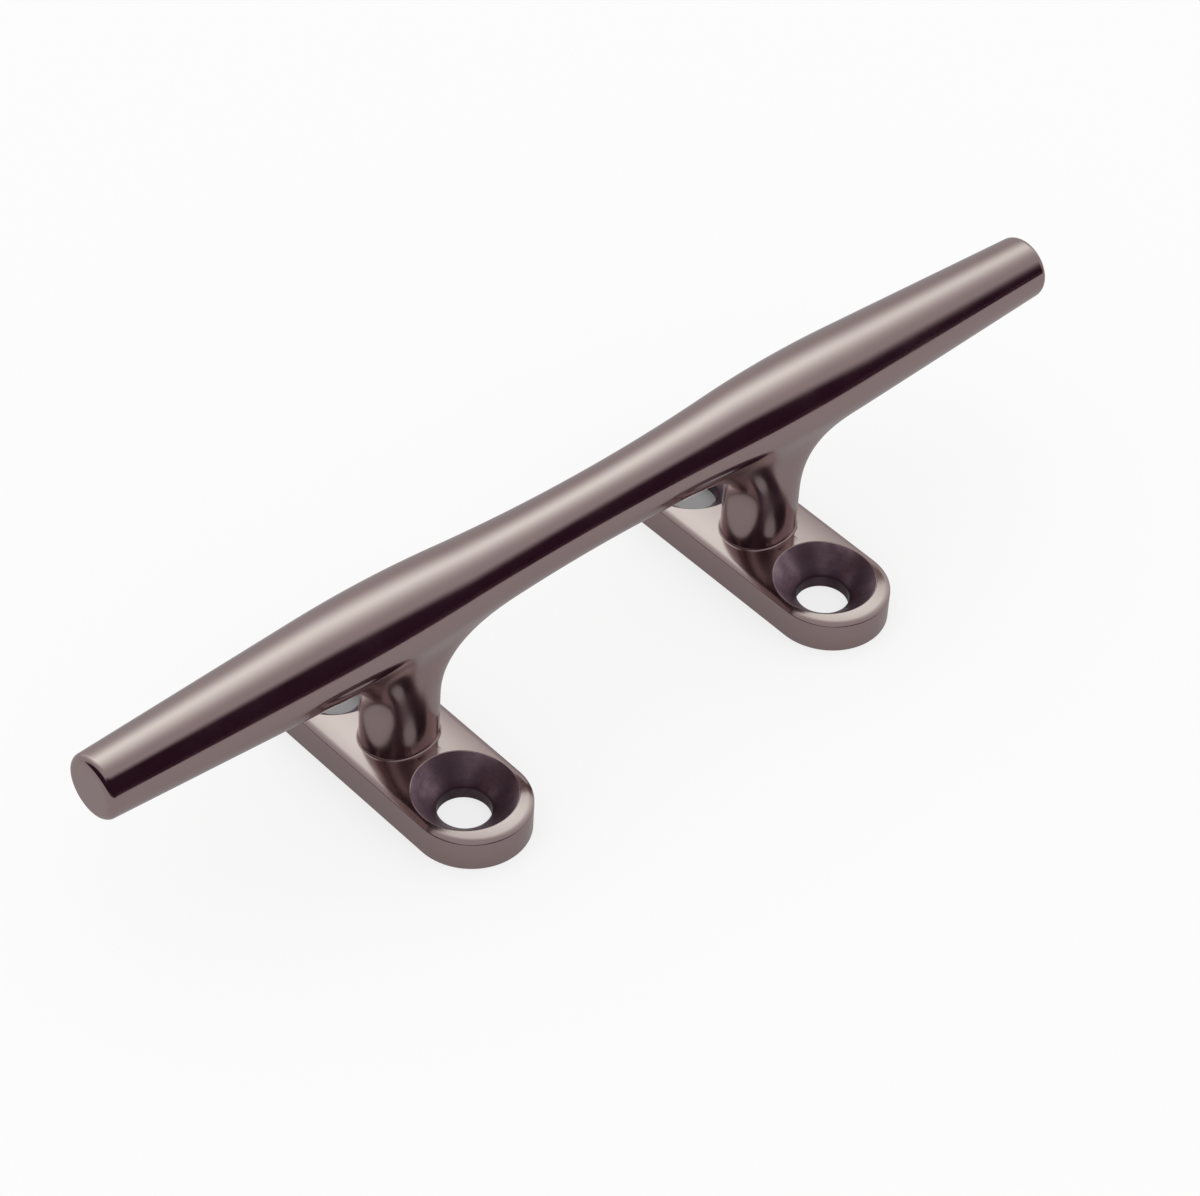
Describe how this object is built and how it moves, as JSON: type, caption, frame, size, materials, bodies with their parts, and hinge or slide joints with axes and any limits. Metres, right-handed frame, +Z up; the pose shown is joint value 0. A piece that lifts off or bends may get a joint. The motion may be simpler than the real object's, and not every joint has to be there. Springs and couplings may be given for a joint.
{
  "type": "horn cleat",
  "caption": "Open-base horn cleat for belaying rope: a round tapered bar on two flared legs, each standing on an oblong foot with countersunk screw holes.",
  "frame": {"origin": "on the deck plane, midway between the two feet and under the middle of the horn bar", "axes": "+X along the horn bar, +Y along the feet across the bar, +Z up from the deck"},
  "size_m": [0.152, 0.0426, 0.0306],
  "materials": {
    "bar_steel": "mirror-polished stainless steel",
    "leg_steel": "mirror-polished stainless steel",
    "foot_steel": "mirror-polished stainless steel"
  },
  "bodies": {
    "root": {"horn_bar": "bar_steel", "near_leg": "leg_steel", "far_leg": "leg_steel", "near_foot": "foot_steel", "far_foot": "foot_steel"}
  },
  "joints": []
}
